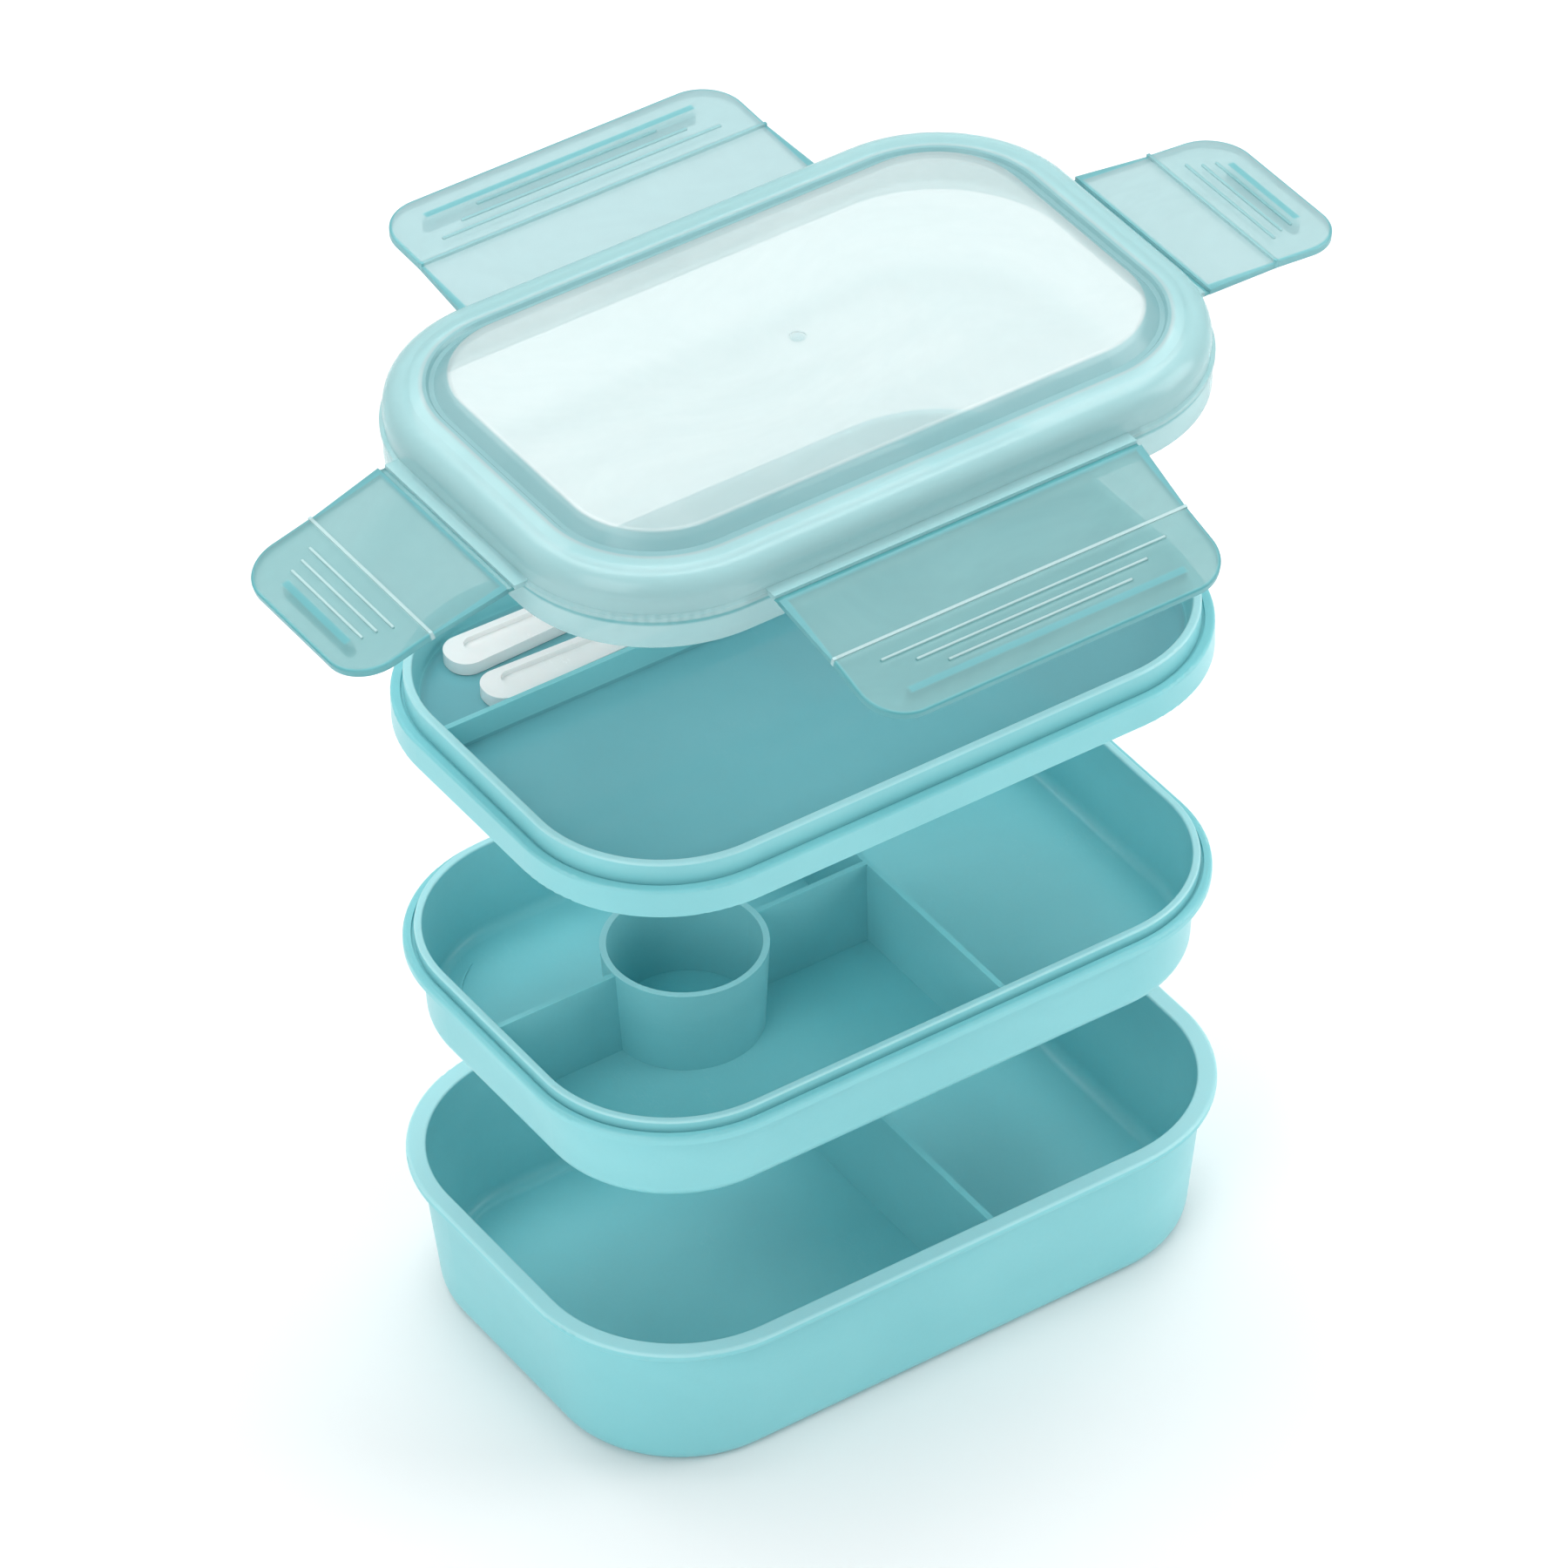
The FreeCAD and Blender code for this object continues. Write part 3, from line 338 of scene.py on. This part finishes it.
# Each latch's tint, painted darker on the front and left latches as painted shade and paler on the rear
# and right as painted light, then the least and most it hides, and the colour of the lines at its
# moulded step and ribs: a painted highlight on the front and left, a darker teal on the rear and right.
FLAP_LOOKS = {
    "front": ((0.21, 0.445, 0.455), (0.64, 0.72), PAINTED_LINE_HIGHLIGHT),
    "rear": ((0.46, 0.60, 0.625), (0.52, 0.60), TEAL_LINE),
    "left": ((0.21, 0.45, 0.465), (0.64, 0.72), PAINTED_LINE_HIGHLIGHT),
    "right": ((0.47, 0.61, 0.63), (0.52, 0.60), TEAL_LINE),
}
LIGHT_TEAL = (0.262, 0.660, 0.700)
DEEP_TEAL = (0.228, 0.612, 0.655)
tray = plastic("tray_plastic", LIGHT_TEAL, DEEP_TEAL, 0.29, 0.36, 0.7, 0.25)
glossy_tray = plastic("tray_plastic_polished", LIGHT_TEAL, DEEP_TEAL, 0.29, 0.34, 0.7, 0.25)
polish_and_shade_floor(glossy_tray, TRAY_FLOOR)
# Painted highlights along the base's rim and the lips of the middle and top trays.
paint_rim_highlights(tray, [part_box(name)[1][2] for name in ("base_container", "middle_tray")])
paint_rim_highlights(glossy_tray, [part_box("top_tray")[1][2]])
lid = frosted("lid_plastic", (0.67, 0.75, 0.75), (0.63, 0.72, 0.72), (0.17, 0.22),
              (0.54, 0.60), 0.30, 60.0, (0.30, 0.80, 0.82))
shade_lid(lid, (0.48, 0.75, 0.77), (0.29, 0.52, 0.545), (0.10, 0.46, 0.49))
flaps = {}
for side, (light, cover, line) in FLAP_LOOKS.items():
    dark = tuple(channel * 0.9 for channel in light)
    # one copy of the latch material per side, with painted shade on the front and left and painted
    # light on the rear and right
    flaps[side] = frosted(side + "_flap_plastic_painted_light", light, dark, (0.29, 0.36),
                          cover, 0.36, 220.0, (0.40, 0.84, 0.85))
    shade_flap(flaps[side], side, (0.10, 0.42, 0.46), line)
hinge = frosted("hinge_plastic", (0.14, 0.50, 0.53), (0.11, 0.44, 0.47), (0.30, 0.38),
                (0.80, 0.88), 0.30, 420.0, (0.20, 0.80, 0.82))
seal = plastic("seal_silicone", (0.86, 0.93, 0.93), (0.80, 0.89, 0.90), 0.45, 0.58, 1.0, 0.3)
white = plastic("cutlery_plastic", (0.98, 0.98, 0.97), (0.95, 0.95, 0.94), 0.16, 0.25, 0.5, 0.2)

LOOKS = {
    "base_container": tray,
    "middle_tray": tray,
    "top_tray": glossy_tray,
    "lid_shell": lid,
    "lid_seal": seal,
    "fork": white,
    "spoon": white,
}
for side, material in flaps.items():
    LOOKS[side + "_latch"] = material
for name, material in LOOKS.items():
    data = nodes[name].data
    if not data.materials:
        data.materials.append(material)
    for slot in nodes[name].material_slots:
        slot.material = material


# ---------------------------------------------------------------- hinge webs

def hinge_web(side):
    """A thin flat strip, slightly pinched in the middle, in place of the hinge web between the lid and
    its latch.
    """
    low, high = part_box(side + "_hinge_web")
    along = 0 if side in LONG_SIDES else 1
    across = 1 - along
    outward = 1.0 if low[across] > 0 else -1.0
    inner = low[across] if outward > 0 else high[across]
    width = high[across] - low[across]
    steps = 14
    runs = 40
    verts = []
    faces = []
    for height, inward in ((low[2], 1.0), (high[2], -1.0)):
        for i in range(steps + 1):
            share = i / steps
            waist = inward * WEB_WAIST * math.sin(math.pi * share)
            for j in range(runs + 1):
                point = [0.0, 0.0, height + waist]
                point[across] = inner + outward * width * share
                point[along] = low[along] + (high[along] - low[along]) * j / runs
                verts.append(point)
    row = runs + 1
    sheet = row * (steps + 1)
    for i in range(steps):
        for j in range(runs):
            a = i * row + j
            faces.append((a, a + 1, a + row + 1, a + row))
            faces.append((sheet + a + row, sheet + a + row + 1, sheet + a + 1, sheet + a))
    for i in range(steps):
        a = i * row
        b = a + runs
        faces.append((a, a + row, sheet + a + row, sheet + a))
        faces.append((b + row, b, sheet + b, sheet + b + row))
    for j in range(runs):
        a = steps * row + j
        faces.append((j + 1, j, sheet + j, sheet + j + 1))
        faces.append((a, a + 1, sheet + a + 1, sheet + a))
    mesh = bpy.data.meshes.new(side + "_hinge_strip")
    mesh.from_pydata(verts, [], faces)
    mesh.validate()
    mesh.update()
    strip = bpy.data.objects.new(side + "_hinge_strip", mesh)
    scene.collection.objects.link(strip)
    for polygon in mesh.polygons:
        polygon.use_smooth = True
    mesh.materials.append(hinge)
    start = [0.0, 0.0, (low[2] + high[2]) / 2]
    end = list(start)
    start[across] = inner
    end[across] = inner + outward * width
    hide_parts(side + "_hinge_web")
    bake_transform(strip)


for side in HINGE_TURNS:
    hinge_web(side)


# ---------------------------------------------------------------- floor, light and camera

def floor():
    mesh = bpy.data.meshes.new("floor")
    mesh.from_pydata([(-6, -6, 0), (6, -6, 0), (6, 6, 0), (-6, 6, 0)], [], [(0, 1, 2, 3)])
    ground = bpy.data.objects.new("floor", mesh)
    scene.collection.objects.link(ground)
    material, tree, shader, place = new_material("floor_paper")
    tone = mix(tree, noise(tree, place, 3.0, 3.0), (0.93, 0.93, 0.93), (0.96, 0.96, 0.96))
    tree.links.new(tone, shader.inputs["Base Color"])
    shader.inputs["Roughness"].default_value = 0.9
    mesh.materials.append(material)


def area_light(name, where, aim, size, power):
    lamp = bpy.data.lights.new(name, "AREA")
    lamp.shape = "RECTANGLE"
    lamp.size, lamp.size_y = size
    lamp.energy = power
    holder = bpy.data.objects.new(name, lamp)
    scene.collection.objects.link(holder)
    holder.location = where
    direction = Vector(aim) - Vector(where)
    holder.rotation_mode = "QUATERNION"
    holder.rotation_quaternion = direction.to_track_quat("-Z", "Y")


floor()
area_light("soft_top", (0.15, 0.35, 1.55), (0.0, 0.0, 0.12), (1.6, 1.2), 20.0)
area_light("soft_left", (-1.30, -0.55, 0.95), (0.0, 0.0, 0.15), (0.9, 1.3), 9.0)
area_light("soft_right", (1.20, -0.70, 0.70), (0.0, 0.0, 0.15), (0.8, 1.1), 8.0)

world = bpy.data.worlds.new("studio")
world.use_nodes = True
background = world.node_tree.nodes["Background"]
background.inputs["Color"].default_value = (1.0, 1.0, 1.0, 1.0)
background.inputs["Strength"].default_value = 0.50
scene.world = world
scene.view_settings.view_transform = "Standard"

AZIMUTH = math.radians(-33.22)
ELEVATION = math.radians(39.35)
ROLL = math.radians(-1.21)
DISTANCE = 2.736
PIXELS_PER_METRE = 4490.0
back = Vector((
    math.sin(AZIMUTH) * math.cos(ELEVATION),
    -math.cos(AZIMUTH) * math.cos(ELEVATION),
    math.sin(ELEVATION),
))
level = Vector((math.cos(AZIMUTH), math.sin(AZIMUTH), 0.0))
rise = back.cross(level)
right = level * math.cos(ROLL) + rise * math.sin(ROLL)
up = rise * math.cos(ROLL) - level * math.sin(ROLL)
aim = Vector((0.0, 0.0, 0.175)) - right * 0.00542 - up * 0.01614

lens = bpy.data.cameras.new("camera")
lens.sensor_width = 36.0
lens.lens = PIXELS_PER_METRE * DISTANCE / 1800.0 * 36.0
lens.clip_start = 0.05
lens.clip_end = 30.0
camera = bpy.data.objects.new("camera", lens)
scene.collection.objects.link(camera)
turn = Matrix((right, up, back)).transposed()
camera.matrix_world = Matrix.Translation(aim + back * DISTANCE) @ turn.to_4x4()
scene.camera = camera
